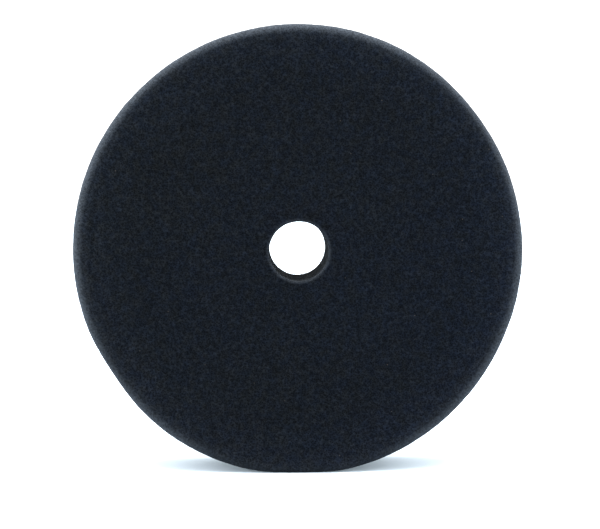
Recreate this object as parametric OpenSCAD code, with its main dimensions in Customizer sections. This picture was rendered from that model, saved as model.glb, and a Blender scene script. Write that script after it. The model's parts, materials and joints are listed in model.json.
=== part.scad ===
// Foam polishing pad for a car polisher, standing on its rim.
// It is a laminate: a foam body, a hot-melt film and a loop fabric, with one hole punched through all.
// The pad's axis runs along Y. The working face looks towards -Y and the loop face towards +Y.
// The origin is under the pad's centre, on the surface that it stands on, and +Z is up.

/* [Pad] */
// Diameter of the foam
pad_d = 150; // [80:1:200]
// Overall thickness, from the working face to the tips of the loops
pad_t = 25; // [18:0.5:40]
// How far the rim squashes where the pad stands on it, which leaves a narrow flat rest
rim_squash = 0.3; // [0.2:0.1:2]

/* [Centre hole] */
// Diameter of the hole that is punched through every layer
hole_d = 20; // [8:0.5:40]
// Rounding of the hole's edge at the working face
hole_round = 0.8; // [0.3:0.1:2]

/* [Foam edges] */
// Rounding of the rim at the working face
face_round = 3; // [1:0.1:6]
// Rounding of the rim at the back of the foam
back_round = 1; // [0.3:0.1:3]

/* [Loop backing] */
// How far the loop fabric, and the film under it, stop short of the foam's rim
backing_setback = 2; // [0.5:0.5:10]
// Thickness of the hot-melt film
film_t = 0.2; // [0.1:0.05:0.5]
// Thickness of the knitted ground of the loop fabric
ground_t = 0.6; // [0.3:0.1:1.2]
// Height of the loops above the ground
pile_t = 1.4; // [0.8:0.1:3]
// Rounding of the pile's outer edge, where the outermost loops lean over
pile_round = 0.7; // [0.2:0.1:0.8]

/* [Hidden] */
pad_r = pad_d / 2;
hole_r = hole_d / 2;
backing_r = pad_r - backing_setback;
foam_t = pad_t - film_t - ground_t - pile_t;
axis_h = pad_r - rim_squash;

// Depths of the layers behind the working face
film_y = foam_t;
ground_y = film_y + film_t;
pile_y = ground_y + ground_t;

$fn = 180;

// Takes a corner off a profile and puts a quarter circle there. The corner is at (x, y), and the
// profile lies on its sx, sy side.
module round_corner(x, y, sx, sy, r) {
    difference() {
        children();
        translate([x + sx * r / 2, y + sy * r / 2])
            square(r + 0.001, center = true);
    }
    intersection() {
        translate([x + sx * r, y + sy * r])
            circle(r);
        translate([x + sx * r / 2, y + sy * r / 2])
            square(r + 0.001, center = true);
    }
}

// A layer's half section: radius along x, thickness along y.
module layer_profile(outer_r, thickness) {
    translate([hole_r, 0])
        square([outer_r - hole_r, thickness]);
}

// Turns a half section about the pad's axis, puts it at its depth and cuts the rim level with the
// surface that the pad stands on.
module turned_layer(depth) {
    intersection() {
        translate([0, depth - pad_t / 2, axis_h])
            rotate([-90, 0, 0])
                rotate_extrude()
                    children();
        translate([-pad_r - 1, -pad_t, 0])
            cube([pad_d + 2, 2 * pad_t, pad_d + 2]);
    }
}

module foam_body() {
    color("#1b2026")
        turned_layer(0)
            round_corner(pad_r, foam_t, -1, -1, back_round)
                round_corner(hole_r, 0, 1, 1, hole_round)
                    round_corner(pad_r, 0, -1, 1, face_round)
                        layer_profile(pad_r, foam_t);
}

module adhesive_film() {
    color("#3a3a36")
        turned_layer(film_y)
            layer_profile(backing_r, film_t);
}

module loop_ground() {
    color("#141517")
        turned_layer(ground_y)
            layer_profile(backing_r, ground_t);
}

module loop_pile() {
    color("#1d1f22")
        turned_layer(pile_y)
            round_corner(backing_r, pile_t, -1, -1, pile_round)
                layer_profile(backing_r, pile_t);
}

foam_body();
adhesive_film();
loop_ground();
loop_pile();
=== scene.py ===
"""Foam polishing pad on its rim: the looks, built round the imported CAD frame.

Every length is in metres. The pad's axis runs along Y, the working face looks towards -Y, and the pad
stands on z = 0. The foam, the film and the loop fabric are mesh pieces that replace the plain CAD solids.
"""

import json
import math

import bpy
import numpy as np
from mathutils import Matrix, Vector, noise
from mathutils.geometry import delaunay_2d_cdt


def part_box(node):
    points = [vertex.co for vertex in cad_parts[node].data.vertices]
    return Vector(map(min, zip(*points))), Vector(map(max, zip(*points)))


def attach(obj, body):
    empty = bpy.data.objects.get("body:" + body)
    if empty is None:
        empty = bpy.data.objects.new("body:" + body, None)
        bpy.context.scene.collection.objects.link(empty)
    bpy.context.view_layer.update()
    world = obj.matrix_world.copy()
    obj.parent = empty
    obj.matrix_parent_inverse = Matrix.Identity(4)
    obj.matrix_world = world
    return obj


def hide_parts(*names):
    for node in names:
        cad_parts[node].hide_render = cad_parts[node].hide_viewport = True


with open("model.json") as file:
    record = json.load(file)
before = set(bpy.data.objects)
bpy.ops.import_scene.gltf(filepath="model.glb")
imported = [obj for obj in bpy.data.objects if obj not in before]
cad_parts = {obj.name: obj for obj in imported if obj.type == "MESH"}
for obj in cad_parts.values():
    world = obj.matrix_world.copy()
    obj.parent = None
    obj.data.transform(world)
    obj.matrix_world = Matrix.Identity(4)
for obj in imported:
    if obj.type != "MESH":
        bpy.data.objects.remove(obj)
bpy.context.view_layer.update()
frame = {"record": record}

MM = 0.001
SEED = 7

# Sizes that the frame gives
bore_mount = next(m for m in frame["record"]["mounts"] if m["name"] == "centre_bore")
AXIS_Z = bore_mount["pos_m"][2]
BORE_R = bore_mount["dims"]["r_mm"] * MM
foam_lo, foam_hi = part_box("foam_body")
film_lo, film_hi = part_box("adhesive_film")
ground_lo, ground_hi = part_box("loop_ground")
pile_lo, pile_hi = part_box("loop_pile")
FACE_Y, FOAM_BACK_Y = foam_lo[1], foam_hi[1]
PAD_R = (foam_hi[0] - foam_lo[0]) / 2
BACKING_R = (ground_hi[0] - ground_lo[0]) / 2

# Foam edges, as the CAD rounds them
FACE_ROUND = 3.0 * MM
BACK_ROUND = 1.0 * MM
HOLE_ROUND = 0.8 * MM


# ---------------------------------------------------------------- meshes

# What delaunay_2d_cdt is asked for: only the triangles inside the outline
INSIDE_OUTLINE = 1
# Points closer together than this count as one
SAME_POINT = 1e-9
YARN_SIDES = 3
FEWEST_IN_RING = 24
FEWEST_IN_QUARTER = 3


def new_piece(name, verts, faces, material, smooth=True):
    """A mesh object from points and faces."""
    mesh = bpy.data.meshes.new(name)
    mesh.from_pydata([tuple(v) for v in verts], [], [tuple(f) for f in faces])
    mesh.polygons.foreach_set("use_smooth", [smooth] * len(mesh.polygons))
    mesh.materials.append(material)
    mesh.update()
    piece = bpy.data.objects.new(name, mesh)
    bpy.context.scene.collection.objects.link(piece)
    return piece


def bridge(a_first, a_count, b_first, b_count):
    """Triangles between two closed rings that may hold different numbers of points."""
    faces, i, j = [], 0, 0
    while i < a_count or j < b_count:
        a, b = a_first + i % a_count, b_first + j % b_count
        if (i + 1) * b_count <= (j + 1) * a_count and i < a_count:
            faces.append((a, a_first + (i + 1) % a_count, b))
            i += 1
        else:
            faces.append((a, b_first + (j + 1) % b_count, b))
            j += 1
    return faces


def straight(start, end, pitch):
    """Points of a section from start up to, but not including, end, with the outward normal."""
    start, end = np.array(start), np.array(end)
    along = end - start
    count = max(1, round(float(np.linalg.norm(along)) / pitch))
    normal = np.array([along[1], -along[0]]) / np.linalg.norm(along)
    return [(*(start + along * k / count), *normal) for k in range(count)]


def quarter(centre, radius, from_deg, pitch):
    """The same for a quarter turn, anticlockwise in the (radius, y) plane."""
    count = max(FEWEST_IN_QUARTER, round(math.pi / 2 * radius / pitch))
    turned = []
    for k in range(count):
        angle = math.radians(from_deg + 90 * k / count)
        out, up = math.cos(angle), math.sin(angle)
        turned.append((centre[0] + radius * out, centre[1] + radius * up, out, up))
    return turned


def turned_mesh(section, spacing_at, rng, jitter=0.22):
    """Rings of points round the pad's axis for a closed section, bridged into one closed surface.

    Returns the points, their outward normals and the faces. Points are shifted a little in the
    surface, so that the rings don't show.
    """
    points, normals, faces, rings = [], [], [], []
    total = 0
    for r, y, nr, ny in section:
        spacing = spacing_at(r, y)
        count = max(FEWEST_IN_RING, round(2 * math.pi * r / spacing))
        turn = 2 * math.pi * (np.arange(count) + rng.random() * 0.5) / count
        turn = turn + rng.uniform(-jitter, jitter, count) * 2 * math.pi / count
        slide = rng.uniform(-jitter, jitter, count) * spacing
        rr, yy = r - ny * slide, y + nr * slide
        points.append(np.stack([rr * np.sin(turn), yy, AXIS_Z + rr * np.cos(turn)], 1))
        normals.append(np.stack([nr * np.sin(turn), np.full(count, ny), nr * np.cos(turn)], 1))
        rings.append((total, count))
        total += count
    for k, (first, count) in enumerate(rings):
        faces += bridge(first, count, *rings[(k + 1) % len(rings)])
    return np.concatenate(points), np.concatenate(normals), faces


def yarns(paths, sideways, radius):
    """Closed three-sided tubes along many short paths of the same number of points.

    paths is (yarn, point, xyz), sideways a unit vector for each yarn across its own plane, and
    radius (yarn, point).
    """
    count, length = paths.shape[:2]
    sides = YARN_SIDES
    along = np.gradient(paths, axis=1)
    along /= np.linalg.norm(along, axis=2, keepdims=True)
    across = np.broadcast_to(sideways[:, None, :], along.shape)
    up = np.cross(along, across)
    up /= np.maximum(np.linalg.norm(up, axis=2, keepdims=True), 1e-9)
    rings = []
    for k in range(sides):
        a = 2 * math.pi * k / sides
        rings.append(paths + radius[..., None] * (math.cos(a) * across + math.sin(a) * up))
    verts = np.stack(rings, 2).reshape(-1, 3)
    faces = []
    corner = np.arange(count)[:, None] * length * sides
    for p in range(length - 1):
        for k in range(sides):
            here, there = p * sides + k, p * sides + (k + 1) % sides
            faces.append(np.concatenate([corner + here, corner + there, corner + there + sides], 1))
            faces.append(np.concatenate([corner + here, corner + there + sides, corner + here + sides], 1))
    first = [corner + k for k in reversed(range(sides))]
    last = [corner + (length - 1) * sides + k for k in range(sides)]
    faces.append(np.concatenate(first, 1))
    faces.append(np.concatenate(last, 1))
    return verts, np.concatenate(faces)


def ring_points(radius, spacing, waver=0.0, rng=None):
    """Points (x, z) round the pad's axis, with an optional small random waver of the radius."""
    count = round(2 * math.pi * radius / spacing)
    turn = 2 * math.pi * np.arange(count) / count
    r = radius + (rng.uniform(-waver, waver, count) if waver else 0)
    return np.stack([r * np.sin(turn), AXIS_Z + r * np.cos(turn)], 1)


def filled_ring(outer, inner, inside=None):
    """Triangles over (x, z) points that fill the space between two closed outlines.

    The points come back as outer, then inner, then inside. The triangles' normals look towards -Y.
    """
    points = np.concatenate([outer, inner] + ([inside] if inside is not None else []))
    loops = [(0, len(outer)), (len(outer), len(inner))]
    edges = [(first + k, first + (k + 1) % count) for first, count in loops for k in range(count)]
    made = delaunay_2d_cdt([Vector(p) for p in points], edges, [], INSIDE_OUTLINE, SAME_POINT)
    found, origins = made[2], made[3]
    triangles = [tuple(origins[v][0] for v in face) for face in found]
    hole = range(len(outer), len(outer) + len(inner))
    return points, [t for t in triangles if not all(v in hole for v in t)]


# ---------------------------------------------------------------- foam

FOAM_SPACING = 0.62 * MM
# Rings this far apart make nearly equilateral triangles
RING_STEP = FOAM_SPACING * 0.87
HIDDEN_SPACING = 2.5 * MM
# How far in under the fabric the foam's mesh stays fine, at the fabric's rim and at the hole
FINE_AT_RIM = 1.5 * MM
FINE_AT_BORE = 1 * MM
# Under the fabric the foam is smooth and lies this far inside the CAD surface
UNDER_FABRIC = 0.05 * MM

# Relief of the foam's surface: the height of each kind, and about how many there are to a metre
WAVE_HEIGHT = 0.1 * MM
WAVES_PER_M = 38
LUMP_HEIGHT = 0.05 * MM
LUMPS_PER_M = 260
CELL_HEIGHT = 0.07 * MM
CELLS_PER_M = 900

SIDE_BOW = 0.25 * MM
BORE_BOW_SHARE = 0.5
# Shallow dents in the rim: where, in degrees anticlockwise from +X as the working face is seen, how
# deep, and how wide in degrees
DENTS = ((36, 0.42 * MM, 17), (213, 0.6 * MM, 9), (104, 0.1 * MM, 6), (12, 0.08 * MM, 6))
# How far in from the rim a dent is felt
DENT_REACH = 8 * MM
# How far the rim sags outwards round the foot, and over how much of its turn to either side
SAG = 0.7 * MM
SAG_REACH_DEG = 44
# About how high above the floor the sag fades out
SAG_HEIGHT = 36 * MM
SQUASH_SOFTNESS = 0.6 * MM
# The swelling of the face just above the floor: how far, at what height and how tall
SWELL = 0.35 * MM
SWELL_AT = 1 * MM
SWELL_TALL = 2.2 * MM


def foam_section():
    """The foam's half section, closed, anticlockwise in the (radius, y) plane."""
    step = RING_STEP
    inner, outer = BORE_R, PAD_R
    front, back = FACE_Y, FOAM_BACK_Y
    hidden_rim, hidden_bore = BACKING_R - FINE_AT_RIM, BORE_R + FINE_AT_BORE
    return (
        straight((inner + HOLE_ROUND, front), (outer - FACE_ROUND, front), step)
        + quarter((outer - FACE_ROUND, front + FACE_ROUND), FACE_ROUND, -90, step)
        + straight((outer, front + FACE_ROUND), (outer, back - BACK_ROUND), step)
        + quarter((outer - BACK_ROUND, back - BACK_ROUND), BACK_ROUND, 0, step)
        + straight((outer - BACK_ROUND, back), (hidden_rim, back), step)
        + straight((hidden_rim, back), (hidden_bore, back), HIDDEN_SPACING)
        + straight((hidden_bore, back), (inner, back), step)
        + straight((inner, back), (inner, front + HOLE_ROUND), step)
        + quarter((inner + HOLE_ROUND, front + HOLE_ROUND), HOLE_ROUND, 180, step)
    )


def foam_spacing(r, y):
    """Points lie close together wherever the foam is seen."""
    under_fabric = BORE_R + FINE_AT_BORE <= r <= BACKING_R - 1 * MM
    hidden = y > FOAM_BACK_Y - 0.1 * MM and under_fabric
    return HIDDEN_SPACING if hidden else FOAM_SPACING


def foam_relief(point):
    """How far the foam stands proud of the plain disc: slow waves, lumps and cut cells."""
    p = Vector(point)
    waves = noise.fractal(p * WAVES_PER_M, 0.9, 2.1, 3) * WAVE_HEIGHT
    lumps = noise.noise(p * LUMPS_PER_M + Vector((5, 1, 9))) * LUMP_HEIGHT
    cells = noise.noise(p * CELLS_PER_M + Vector((3, 8, 2))) * CELL_HEIGHT
    return waves + lumps + cells


def bowed(points):
    """The rim and the hole's wall bow in a little between their edges, as die-cut foam does."""
    r = np.hypot(points[:, 0], points[:, 2] - AXIS_Z)
    t = np.clip((points[:, 1] - FACE_Y) / (FOAM_BACK_Y - FACE_Y), 0, 1)
    bow = SIDE_BOW * np.sin(math.pi * t) ** 2
    at_bore = np.where(r < BORE_R + HOLE_ROUND, BORE_BOW_SHARE, 0)
    return bow * np.where(r > PAD_R - FACE_ROUND, -1, at_bore)


def dented(points):
    """The small dents in the rim, and how the foam sags outwards round the foot."""
    x, z = points[:, 0], points[:, 2] - AXIS_Z
    turn, r = np.degrees(np.arctan2(z, x)), np.hypot(x, z)
    depth = np.zeros(len(points))
    for angle, deep, wide in DENTS:
        off = (turn - angle + 180) % 360 - 180
        depth -= deep * np.exp(-((off / wide) ** 2))
    from_foot = (turn + 90 + 180) % 360 - 180
    sag = SAG * np.exp(-(from_foot / SAG_REACH_DEG) ** 4)
    return (depth + sag) * np.clip((r - PAD_R + DENT_REACH) / DENT_REACH, 0, 1) ** 2


def squashed(points):
    """The foot is pressed flat where it stands, and the face swells forwards a little just above it."""
    z = points[:, 2].copy()
    soft = SQUASH_SOFTNESS
    lowest = AXIS_Z - PAD_R
    settle = 0.5 * (lowest + math.hypot(lowest, soft))
    points[:, 2] = np.maximum(0.5 * (z + np.hypot(z, soft)) - settle, 0)
    swell = SWELL * np.exp(-((z - SWELL_AT) / SWELL_TALL) ** 2)
    middle = (FACE_Y + FOAM_BACK_Y) / 2
    half = (FOAM_BACK_Y - FACE_Y) / 2
    points[:, 1] += swell * (points[:, 1] - middle) / half * (points[:, 1] < middle)
    return points


def make_foam(material):
    """The foam disc, from its plain section to its cut, dented and squashed surface."""
    rng = np.random.default_rng(SEED)
    points, normals, faces = turned_mesh(foam_section(), foam_spacing, rng)
    relief = np.array([foam_relief(p) for p in points])
    from_axis = np.hypot(points[:, 0], points[:, 2] - AXIS_Z)
    hidden = (points[:, 1] > FOAM_BACK_Y - 0.3 * MM) & (from_axis < BACKING_R)
    relief[hidden] = -UNDER_FABRIC
    radial = np.stack([points[:, 0], np.zeros(len(points)), points[:, 2] - AXIS_Z], 1)
    radial /= np.linalg.norm(radial, axis=1, keepdims=True)
    points = points + normals * relief[:, None] + radial * (bowed(points) + dented(points))[:, None]
    return new_piece("foam", squashed(points), faces, material)


# ---------------------------------------------------------------- loop backing

# From one column of stitches to the next, and from one stitch to the next in a column
WALE = 1.25 * MM
COURSE = 1.15 * MM
# Half the height of the ridge that each wale makes, and how far its stitches zigzag to either side
RIDGE = 0.13 * MM
ZIGZAG = 0.14 * MM
# How far the knit and its cut edges lie below the CAD surface
KNIT_SINK = 0.1 * MM
KNIT_EDGE_SINK = 0.12 * MM
# How far the cut edge of the fabric relaxes into the hole
FABRIC_CREEP = 0.25 * MM
# Spacing of the points along the fabric's cut edges, and how far its rim wavers
FABRIC_RIM_SPACING = 0.5 * MM
FABRIC_BORE_SPACING = 0.4 * MM
FABRIC_RIM_WAVER = 0.06 * MM

# How far the film reaches into the foam and into the fabric
FILM_SINK = 0.04 * MM
FILM_SPACING = 0.7 * MM
# How far the film's flat part stops short of the fabric's rim and of the hole
FILM_FROM_RIM = 0.4 * MM
FILM_FROM_BORE = 0.1 * MM
# How far the film's bead stands out past its flat part, and how much that varies
BEAD = 0.5 * MM
BEAD_SHOULDER = 0.35 * MM
BEAD_VARIES = 0.35 * MM
BEAD_LUMPS_PER_M = 220

# Least and greatest size of a loop: half its span, its height and the radius of its yarn
LOOP_SPAN = (0.34 * MM, 0.54 * MM)
LOOP_HEIGHT = (0.95 * MM, 1.28 * MM)
LOOP_YARN = (0.11 * MM, 0.15 * MM)
LOOP_STEPS = 6
# How far from the fabric's cut edges the loops start, and how far each strays from its stitch
LOOPS_FROM_RIM = 0.5 * MM
LOOPS_FROM_BORE = 0.6 * MM
LOOP_STRAY = 0.1 * MM
# How far the nap leans down, towards the floor
NAP_LEAN = 0.22 * MM

# How many cut yarns there are at the fabric's rim and at the hole, and the radius of the yarn
RIM_ENDS = 760
BORE_ENDS = 60
END_YARN = (0.05 * MM, 0.09 * MM)
END_STEPS = 4
# How deep in the fabric a cut yarn starts
END_ROOT = 0.4 * MM


def make_film(material):
    """The hot-melt film: flat between foam and fabric, with an uneven bead where it was pressed out."""
    rng = np.random.default_rng(SEED + 1)
    y0, y1 = film_lo[1] - FILM_SINK, film_hi[1] + FILM_SINK
    inner, outer = BORE_R + FILM_FROM_BORE, BACKING_R - FILM_FROM_RIM
    middle = (y0 + y1) / 2
    # Each point has how much of the bead's unevenness it takes along the radius and along Y
    section = [
        (inner, y0, 0, 0),
        (outer, y0, 0, 0),
        (outer + BEAD_SHOULDER, y0 + 0.05 * MM, 1, 0),
        (outer + BEAD, middle, 1.4, 0),
        (outer + BEAD_SHOULDER, y1 - 0.05 * MM, 1, 0),
        (outer, y1, 0, 0),
        (inner, y1, 0, 0),
        (inner - 0.08 * MM, middle, 0, 0),
    ]
    points, squeeze, faces = turned_mesh(section, lambda r, y: FILM_SPACING, rng, jitter=0)
    bead = np.array([noise.fractal(Vector(p) * BEAD_LUMPS_PER_M, 0.8, 2.0, 3) + 0.25 for p in points])
    points = points + squeeze * (np.clip(bead, -0.4, 1.0) * BEAD_VARIES)[:, None]
    return new_piece("adhesive_bead", points, faces, material)


def stitch_grid(across_step, along_step):
    """Whole numbers (i, j) that count grid steps over the fabric, from its middle."""
    across, along = int(BACKING_R / across_step) + 1, int(BACKING_R / along_step) + 1
    i, j = np.meshgrid(np.arange(-across, across + 1), np.arange(-along, along + 1))
    return i.ravel(), j.ravel()


def knit_top(rng):
    """Points (x, z) over the knit, four to a wale and two to a course, and their heights."""
    i, j = stitch_grid(WALE / 4, COURSE / 2)
    spots = np.stack([i * WALE / 4, AXIS_Z + j * COURSE / 2], 1)
    spots[:, 0] += np.where(j % 2, ZIGZAG, -ZIGZAG)
    r = np.hypot(spots[:, 0], spots[:, 1] - AXIS_Z)
    keep = (r < BACKING_R - 0.3 * MM) & (r > BORE_R + 0.25 * MM)
    ridges = RIDGE * np.cos(2 * math.pi * i / 4)[keep]
    return spots[keep] + rng.uniform(-0.03, 0.03, (keep.sum(), 2)) * MM, ridges - KNIT_SINK


def make_ground(material):
    """The knitted ground: ridges of zigzag stitches, a ridge to each wale, on a flat underside."""
    rng = np.random.default_rng(SEED + 2)
    outer = ring_points(BACKING_R, FABRIC_RIM_SPACING, FABRIC_RIM_WAVER, rng)
    inner = ring_points(BORE_R - FABRIC_CREEP, FABRIC_BORE_SPACING)
    inside, heights = knit_top(rng)
    flat, faces = filled_ring(outer, inner, inside)
    edge = len(outer) + len(inner)
    height = np.concatenate([np.full(edge, -KNIT_EDGE_SINK), heights])
    top = np.stack([flat[:, 0], ground_hi[1] + height, flat[:, 1]], 1)
    under_flat, under_faces = filled_ring(outer, inner)
    under = np.stack([under_flat[:, 0], np.full(edge, ground_lo[1]), under_flat[:, 1]], 1)
    first = len(top)
    faces = [f[::-1] for f in faces] + [tuple(first + v for v in f) for f in under_faces]
    for start, count, turn in ((0, len(outer), -1), (len(outer), len(inner), 1)):
        for k in range(count):
            a, b = start + k, start + (k + 1) % count
            faces.append((a, b, first + b, first + a)[::turn])
    return new_piece("knitted_ground", np.concatenate([top, under]), faces, material)


def loop_feet(rng):
    """Where each loop grows from the ground, (x, z): one to a stitch, in rows a half stitch apart."""
    i, j = stitch_grid(WALE, COURSE)
    feet = np.stack([i * WALE, AXIS_Z + (j + 0.5 * (i % 2)) * COURSE], 1)
    feet += rng.normal(0, LOOP_STRAY, feet.shape)
    r = np.hypot(feet[:, 0], feet[:, 1] - AXIS_Z)
    return feet[(r > BORE_R + LOOPS_FROM_BORE) & (r < BACKING_R - LOOPS_FROM_RIM)]


def make_loops(name, feet, rng, material):
    """Bent loops of yarn that stand on the ground and lean with the nap, each a little different."""
    count = len(feet)
    u = np.linspace(0, 1, LOOP_STEPS)
    span = rng.uniform(*LOOP_SPAN, count)
    high = rng.uniform(*LOOP_HEIGHT, count)
    turn = rng.normal(math.pi / 2, 0.5, count)
    nap_x = rng.normal(0, 0.22 * MM, count)
    nap_z = rng.normal(-NAP_LEAN, 0.24 * MM, count)
    belly = -np.cos(math.pi * u) * (1 + 0.35 * np.sin(math.pi * u))
    rise = np.sin(math.pi * u) ** 0.8
    lean = rise ** 1.5
    out = span[:, None] * belly
    paths = np.empty((count, LOOP_STEPS, 3))
    paths[:, :, 0] = feet[:, 0, None] + np.cos(turn)[:, None] * out + nap_x[:, None] * lean
    paths[:, :, 1] = pile_lo[1] - 0.1 * MM + high[:, None] * rise
    paths[:, :, 2] = feet[:, 1, None] + np.sin(turn)[:, None] * out + nap_z[:, None] * lean
    sideways = np.stack([-np.sin(turn), np.zeros(count), np.cos(turn)], 1)
    thick = rng.uniform(*LOOP_YARN, (count, 1)) * np.ones(LOOP_STEPS)
    verts, faces = yarns(paths, sideways, thick)
    return new_piece(name, verts, faces, material)


def make_yarn_ends(material):
    """Yarns that the punch cut, fraying out of the fabric's rim and into the hole."""
    rng = np.random.default_rng(SEED + 4)
    count = RIM_ENDS + BORE_ENDS
    outward = np.where(np.arange(count) < RIM_ENDS, 1.0, -1.0)
    edge = np.where(outward > 0, BACKING_R, BORE_R - FABRIC_CREEP)
    turn = rng.uniform(0, 2 * math.pi, count)
    at_rim = rng.gamma(2.0, 0.22, count)
    at_bore = rng.uniform(0.1, 0.3, count)
    reach = np.where(outward > 0, at_rim, at_bore) * MM
    u = np.linspace(0, 1, END_STEPS)
    r = edge[:, None] + outward[:, None] * (-END_ROOT + (reach[:, None] + END_ROOT) * u)
    swing = turn[:, None] + rng.normal(0, 0.35, (count, 1)) * MM * u**2 / edge[:, None]
    middle = rng.uniform(ground_lo[1] + 0.1 * MM, ground_hi[1], (count, 1))
    y = middle + rng.normal(0.05, 0.3, (count, 1)) * MM * u**2
    paths = np.stack([r * np.sin(swing), y, AXIS_Z + r * np.cos(swing)], 2)
    sideways = np.tile([0.0, 1.0, 0.0], (count, 1))
    thick = rng.uniform(*END_YARN, (count, 1)) * (1 - 0.3 * u)
    verts, faces = yarns(paths, sideways, thick)
    return new_piece("cut_yarn_ends", verts, faces, material)


# ---------------------------------------------------------------- material tools

def node_tools(name):
    """A new material, its Principled shader, and short ways to add and link nodes."""
    material = bpy.data.materials.new(name)
    material.use_nodes = True
    tree = material.node_tree
    shader = tree.nodes["Principled BSDF"]

    def add(kind, **values):
        node = tree.nodes.new("ShaderNode" + kind)
        for key, value in values.items():
            if key in node.inputs:
                node.inputs[key].default_value = value
            else:
                setattr(node, key, value)
        return node

    return material, shader, add, tree.links.new


def textured(add, link, place, kind, **values):
    """A texture node that reads a place on the piece."""
    node = add(kind, **values)
    link(place, node.inputs["Vector"])
    return node


def grey(level):
    """A colour with the same level in all three channels."""
    return (level, level, level)


def ramp(add, link, value, start, start_colour, end, end_colour):
    """A colour that goes from one to the other as a value goes from start to end."""
    node = add("ValToRGB")
    first, last = node.color_ramp.elements
    first.position, last.position = start, end
    first.color, last.color = (*start_colour, 1), (*end_colour, 1)
    link(value, node.inputs["Fac"])
    return node.outputs["Color"]


def radius_from_axis(add, link, place):
    """How far a point is from the pad's axis, as a node output, in metres."""
    flat = add("VectorMath", operation="MULTIPLY_ADD")
    link(place, flat.inputs[0])
    flat.inputs[1].default_value = (1, 0, 1)
    flat.inputs[2].default_value = (0, 0, -AXIS_Z)
    length = add("VectorMath", operation="LENGTH")
    link(flat.outputs["Vector"], length.inputs[0])
    return length.outputs["Value"]


def fade(add, link, value, start, end, low=0.0, high=1.0, smooth="SMOOTHSTEP"):
    """A value that goes from low to high as another goes from start to end."""
    node = add("MapRange", interpolation_type=smooth)
    node.inputs["From Min"].default_value = start
    node.inputs["From Max"].default_value = end
    node.inputs["To Min"].default_value = low
    node.inputs["To Max"].default_value = high
    link(value, node.inputs["Value"])
    return node.outputs["Result"]


def maths(add, link, operation, *values):
    """A Math node over outputs and numbers."""
    node = add("Math", operation=operation)
    for socket, value in zip(node.inputs, values):
        if isinstance(value, (int, float)):
            socket.default_value = value
        else:
            link(value, socket)
    return node.outputs["Value"]


def mixed(add, link, factor, a, b, blend="MIX"):
    """A colour mix: each of factor, a and b is an output or a plain value."""
    node = add("Mix", data_type="RGBA", blend_type=blend)
    for name, value in (("Factor", factor), ("A", a), ("B", b)):
        sockets = [i for i in node.inputs if i.name == name and i.enabled]
        if isinstance(value, bpy.types.NodeSocket):
            link(value, sockets[0])
        else:
            sockets[0].default_value = value if name == "Factor" else (*value, 1)
    return next(o for o in node.outputs if o.enabled)


def tinted(add, link, colour, *tints):
    """A colour multiplied by each of the tints in turn."""
    for tint in tints:
        colour = mixed(add, link, 1.0, colour, tint, "MULTIPLY")
    return colour


def bumped(add, link, shader, height, strength, distance):
    """Bump on a shader, from a height."""
    bump = add("Bump", Strength=strength, Distance=distance)
    link(height, bump.inputs["Height"])
    link(bump.outputs["Normal"], shader.inputs["Normal"])


# ---------------------------------------------------------------- materials

# The foam's blue-black, from FOAM_DARK in the cells, which is painted shade in the pores, to FOAM_LIGHT on
# the struts
FOAM_DARK = (0.0031, 0.004, 0.0055)
FOAM_LIGHT = (0.0087, 0.0112, 0.0151)
# How much lighter the outer part of the face is painted: painted light
OUTER_PAINTED_LIGHT = (1.24, 1.24, 1.26)
# The colour of the painted highlight on the foam's rounded edges
PAINTED_EDGE_HIGHLIGHT = (0.058, 0.066, 0.076)
SPECK = (0.035, 0.032, 0.03)
# How far in from the outline the painted highlight band on the rounded rim starts, and the weaker feather of
# it inside that
BAND_REACH = FACE_ROUND + 0.7 * MM
FEATHER_REACH = 6.2 * MM
FEATHER_SHARE = 0.09
# How strong the painted highlight is at the hole, and next to the floor, where its drop is painted shade
BORE_SHARE = 0.33
# Next to the floor the painted highlight drops to this share: painted shade
FOOT_SHARE = 0.3
# How strong it still is on the rim's wall and on the hole's wall, and between which depths it fades
RIM_WALL_SHARE = 0.14
BORE_WALL_SHARE = 0.6
WALL_FROM_Y = FACE_Y + 2 * MM
WALL_TO_Y = FACE_Y + 7 * MM


def foam_face(add, link, place, cells, grain):
    """The colour of the cut foam: cells darkened by painted shade between struts, grain, drifting tints and
    specks of dust.
    """
    lumps = textured(add, link, place, "TexNoise", Scale=330.0, Detail=1.0, Roughness=0.5).outputs["Fac"]
    clouds = textured(add, link, place, "TexNoise", Scale=450.0, Detail=2.0, Roughness=0.6).outputs["Fac"]
    slow = textured(add, link, place, "TexNoise", noise_dimensions="4D", Scale=9.0, Detail=1.0, W=4.0)
    dust = textured(add, link, place, "TexVoronoi", feature="F1", Scale=140.0, Randomness=1.0)
    # Darker in the cells, lighter on the struts: painted shade in the pores
    strut = ramp(add, link, cells, 0.15, FOAM_DARK, 0.7, FOAM_LIGHT)
    fine = ramp(add, link, grain, 0.3, grey(0.66), 0.7, grey(1.38))
    coarse = ramp(add, link, lumps, 0.3, (0.9, 0.9, 0.88), 0.7, (1.1, 1.1, 1.13))
    tint = ramp(add, link, clouds, 0.35, (0.92, 0.985, 1.08), 0.65, (1.08, 1.015, 0.92))
    drift = ramp(add, link, slow.outputs["Fac"], 0.35, (0.95, 0.985, 1.06), 0.65, (1.05, 1.015, 0.94))
    face = tinted(add, link, strut, fine, coarse, tint, drift)
    speck = fade(add, link, dust.outputs["Distance"], 0.02, 0.036, 1.0, 0.0)
    return mixed(add, link, speck, face, SPECK)


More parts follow.
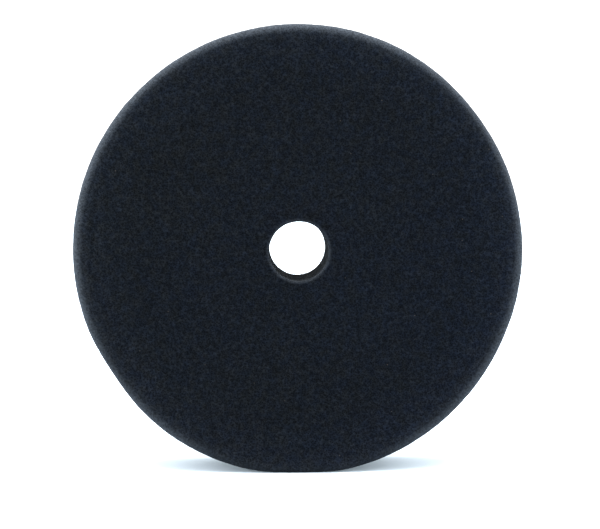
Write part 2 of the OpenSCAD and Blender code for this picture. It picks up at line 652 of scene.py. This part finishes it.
def painted_highlight_share(add, link, radius, y, z):
    """How much of the painted highlight shows: 1 at the outline, less at the hole and next to the floor,
    where the drop is painted shade.
    """
    sagged = fade(add, link, z, 2 * MM, SAG_HEIGHT, SAG, 0.0)
    reach = maths(add, link, "SUBTRACT", radius, sagged)
    band = fade(add, link, reach, PAD_R - BAND_REACH, PAD_R, smooth="LINEAR")
    feather = fade(add, link, reach, PAD_R - FEATHER_REACH, PAD_R - 0.5 * FEATHER_REACH, 0.0, FEATHER_SHARE)
    rim = maths(add, link, "MAXIMUM", band, feather)
    # Weaker next to the floor: painted shade where the foot meets it
    foot = fade(add, link, z, 2 * MM, 14 * MM, FOOT_SHARE, 1.0)
    rim_wall = fade(add, link, y, WALL_FROM_Y, WALL_TO_Y, 1.0, RIM_WALL_SHARE)
    rim = maths(add, link, "MULTIPLY", maths(add, link, "MULTIPLY", rim, foot), rim_wall)
    bore = fade(add, link, radius, BORE_R + HOLE_ROUND + 0.4 * MM, BORE_R, 0.0, BORE_SHARE)
    bore_wall = fade(add, link, y, WALL_FROM_Y, WALL_TO_Y, 1.0, BORE_WALL_SHARE)
    return maths(add, link, "MAXIMUM", rim, maths(add, link, "MULTIPLY", bore, bore_wall))


def foam_material():
    """Blue-black open-cell foam: lighter struts round dark cells, whose dark is painted shade, and a painted
    highlight on the rounded edges.
    """
    material, shader, add, link = node_tools("foam")
    place = add("TexCoord").outputs["Object"]
    axes = add("SeparateXYZ")
    link(place, axes.inputs["Vector"])
    radius = radius_from_axis(add, link, place)
    cells = textured(add, link, place, "TexVoronoi", feature="F1", Scale=1700.0, Randomness=1.0)
    grain = textured(add, link, place, "TexNoise", Scale=900.0, Detail=2.0, Roughness=0.6)
    cells, grain = cells.outputs["Distance"], grain.outputs["Fac"]

    face = foam_face(add, link, place, cells, grain)
    # The outer part of the face is painted lighter: painted light
    outer = fade(add, link, radius, 0.72 * PAD_R, PAD_R - FACE_ROUND)
    face = mixed(add, link, outer, face, tinted(add, link, face, OUTER_PAINTED_LIGHT))
    # The painted highlight's colour, with grain and the pores' painted shade in it
    fluff = ramp(add, link, grain, 0.3, grey(0.82), 0.7, grey(1.18))
    # Darker in the cells: painted shade in the pores
    pores = ramp(add, link, cells, 0.15, grey(0.72), 0.6, grey(1.12))
    edge = tinted(add, link, fluff, pores, PAINTED_EDGE_HIGHLIGHT)
    # The share of the painted highlight, held down next to the floor by painted shade
    ground = painted_highlight_share(add, link, radius, axes.outputs["Y"], axes.outputs["Z"])
    link(mixed(add, link, ground, face, edge), shader.inputs["Base Color"])

    bumped(add, link, shader, cells, 0.6, 0.2 * MM)
    shader.inputs["Roughness"].default_value = 0.95
    shader.inputs["Specular IOR Level"].default_value = 0.05
    shader.inputs["Sheen Weight"].default_value = 0.12
    shader.inputs["Sheen Roughness"].default_value = 0.18
    shader.inputs["Sheen Tint"].default_value = (0.76, 0.89, 0.97, 1)
    return material


def adhesive_material():
    """Hot-melt film: dark, a little glossy, clouded where it cooled."""
    material, shader, add, link = node_tools("adhesive")
    place = add("TexCoord").outputs["Object"]
    clouds = textured(add, link, place, "TexNoise", Scale=600.0, Detail=3.0, Roughness=0.6).outputs["Fac"]
    tone = ramp(add, link, clouds, 0.3, (0.02, 0.0195, 0.0175), 0.7, (0.045, 0.0435, 0.039))
    link(tone, shader.inputs["Base Color"])
    gloss = fade(add, link, clouds, 0.3, 0.7, 0.3, 0.55)
    link(gloss, shader.inputs["Roughness"])
    bumped(add, link, shader, clouds, 0.4, 0.1 * MM)
    return material


def knit_material():
    """Black knitted nylon: fine filaments along each wale, darker in the furrows by painted shade."""
    material, shader, add, link = node_tools("ground_knit")
    place = add("TexCoord").outputs["Object"]
    wales = textured(add, link, place, "TexWave", Scale=0.314 / WALE, Distortion=1.5, Detail=2.0)
    wales.inputs["Detail Scale"].default_value = 3.0
    filaments = textured(add, link, place, "TexNoise", Scale=4000.0, Detail=2.0).outputs["Fac"]
    # Darker in the furrows between the wales: painted shade
    tone = ramp(add, link, wales.outputs["Fac"], 0.0, (0.004, 0.004, 0.005), 1.0, (0.012, 0.012, 0.0135))
    lint = ramp(add, link, filaments, 0.35, grey(0.7), 0.7, grey(1.5))
    link(tinted(add, link, tone, lint), shader.inputs["Base Color"])
    bumped(add, link, shader, filaments, 0.5, 0.1 * MM)
    shader.inputs["Roughness"].default_value = 0.8
    shader.inputs["Specular IOR Level"].default_value = 0.2
    shader.inputs["Sheen Weight"].default_value = 0.2
    shader.inputs["Sheen Roughness"].default_value = 0.3
    return material


def pile_material():
    """Black nylon loops: each of its own depth of black, lighter towards the tips, their darker feet painted
    shade among the loops, with a soft sheen and painted sheen in broad patches of brushed nap.
    """
    material, shader, add, link = node_tools("pile")
    place = add("TexCoord").outputs["Object"]
    yarn = textured(add, link, place, "TexNoise", Scale=800.0, Detail=1.0).outputs["Fac"]
    brushed = textured(add, link, place, "TexNoise", Scale=60.0, Detail=2.0).outputs["Fac"]
    axes = add("SeparateXYZ")
    link(place, axes.inputs["Vector"])
    # Darker at the loops' feet, lighter at their tips: painted shade among the loops
    tips = fade(add, link, axes.outputs["Y"], pile_lo[1], pile_hi[1] - 0.2 * MM)
    tone = mixed(add, link, tips, (0.004, 0.004, 0.0046), (0.016, 0.0165, 0.0185))
    each = ramp(add, link, yarn, 0.3, grey(0.6), 0.7, grey(1.5))
    # Broad lighter and darker patches of brushed nap: painted sheen
    painted_nap_sheen = ramp(add, link, brushed, 0.35, (0.82, 0.82, 0.83), 0.65, grey(1.2))
    link(tinted(add, link, tone, each, painted_nap_sheen), shader.inputs["Base Color"])
    rough = fade(add, link, yarn, 0.3, 0.7, 0.5, 0.75)
    link(rough, shader.inputs["Roughness"])
    shader.inputs["Specular IOR Level"].default_value = 0.35
    shader.inputs["Sheen Weight"].default_value = 0.25
    shader.inputs["Sheen Roughness"].default_value = 0.35
    return material


# ---------------------------------------------------------------- studio

# The photograph is contrasty: its darks are pressed down and its whites are clipped
VIEW_GAMMA = 0.8
ROOM_STRENGTH = 1.7
FLOOR_GLOW = 0.25
FLOOR_R = 3.0
FLOOR_SIDES = 96
# A fan of lights from side to side, tilted a little towards the camera, a little stronger on the left
FAN_LIGHTS = 5
FAN_STEP_DEG = 35
FAN_SPREAD_DEG = 50
FAN_TILT = 0.15
FAN_STRENGTH = 2.9
FAN_LEFT_EXTRA = 0.25
CAMERA_DISTANCE = 0.409
CAMERA_RIGHT = -0.0118
CAMERA_ABOVE_AXIS = 0.0270
CAMERA_LENS = 74.27
SENSOR_WIDTH = 36
AIM_RIGHT = 0.0003
AIM_BELOW_AXIS = 0.0044


def make_camera():
    """The photograph's viewpoint: straight on, a little above the pad's axis and to its left."""
    camera = bpy.data.cameras.new("camera")
    camera.lens = CAMERA_LENS
    camera.sensor_width = SENSOR_WIDTH
    camera.clip_start = 10 * MM
    eye = bpy.data.objects.new("camera", camera)
    eye.location = (CAMERA_RIGHT, FACE_Y - CAMERA_DISTANCE, AXIS_Z + CAMERA_ABOVE_AXIS)
    aim = Vector((AIM_RIGHT, FACE_Y, AXIS_Z - AIM_BELOW_AXIS))
    eye.rotation_euler = (aim - eye.location).to_track_quat("-Z", "Y").to_euler()
    bpy.context.scene.collection.objects.link(eye)
    bpy.context.scene.camera = eye


def floor_material():
    """Matt white acrylic, a little unevenly lit from beneath, which keeps the shadows pale."""
    material, shader, add, link = node_tools("studio_floor")
    place = add("TexCoord").outputs["Object"]
    cloud = textured(add, link, place, "TexNoise", Scale=6.0, Detail=2.0).outputs["Fac"]
    tone = ramp(add, link, cloud, 0.3, (0.4, 0.44, 0.475), 0.7, (0.42, 0.46, 0.495))
    link(tone, shader.inputs["Base Color"])
    shader.inputs["Roughness"].default_value = 0.9
    shader.inputs["Specular IOR Level"].default_value = 0.1
    shader.inputs["Emission Color"].default_value = (0.75, 0.9, 1.0, 1)
    shader.inputs["Emission Strength"].default_value = FLOOR_GLOW
    return material


def make_floor():
    """A wide round floor under the pad."""
    turns = [2 * math.pi * k / FLOOR_SIDES for k in range(FLOOR_SIDES)]
    verts = [(FLOOR_R * math.cos(turn), FLOOR_R * math.sin(turn), 0) for turn in turns]
    floor = new_piece("floor", verts, [tuple(range(FLOOR_SIDES))], floor_material(), smooth=False)


def make_room():
    """A white room all round, and the contrast of the picture."""
    world = bpy.data.worlds.new("white_room")
    world.use_nodes = True
    background = world.node_tree.nodes["Background"]
    background.inputs["Color"].default_value = (1, 1, 1, 1)
    background.inputs["Strength"].default_value = ROOM_STRENGTH
    bpy.context.scene.world = world
    bpy.context.scene.view_settings.view_transform = "Standard"
    bpy.context.scene.view_settings.gamma = VIEW_GAMMA


def soft_sun(name, towards, spread_deg, strength):
    """A distant, very soft light: towards is the direction in which its middle is seen."""
    lamp = bpy.data.lights.new(name, "SUN")
    lamp.angle = math.radians(spread_deg)
    lamp.energy = strength
    light = bpy.data.objects.new(name, lamp)
    light.rotation_euler = Vector(towards).to_track_quat("Z", "Y").to_euler()
    light.location = Vector(towards).normalized()
    bpy.context.scene.collection.objects.link(light)


def make_lights():
    """A fan of soft lights from side to side, nearly in the pad's own plane."""
    for number in range(FAN_LIGHTS):
        angle = math.radians(FAN_STEP_DEG * (number - (FAN_LIGHTS - 1) / 2))
        strength = FAN_STRENGTH - FAN_LEFT_EXTRA * math.sin(angle)
        soft_sun(f"fan_{number}", (math.sin(angle), -FAN_TILT, math.cos(angle)), FAN_SPREAD_DEG, strength)


# ---------------------------------------------------------------- assembly

make_camera()
make_floor()
make_room()
make_lights()

foam = make_foam(foam_material())
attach(foam, "root")
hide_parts("foam_body")

film = make_film(adhesive_material())
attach(film, "root")
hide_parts("adhesive_film")

knit = knit_material()
ground = make_ground(knit)
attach(ground, "root")
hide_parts("loop_ground")

pile = pile_material()
loop_rng = np.random.default_rng(SEED + 3)
feet = loop_feet(loop_rng)
on_left = feet[:, 0] < 0
for name, chosen in (("loop_pile_left", on_left), ("loop_pile_right", ~on_left)):
    half = make_loops(name, feet[chosen], loop_rng, pile)
    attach(half, "root")
    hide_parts("loop_pile")

ends = make_yarn_ends(knit)
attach(ends, "root")
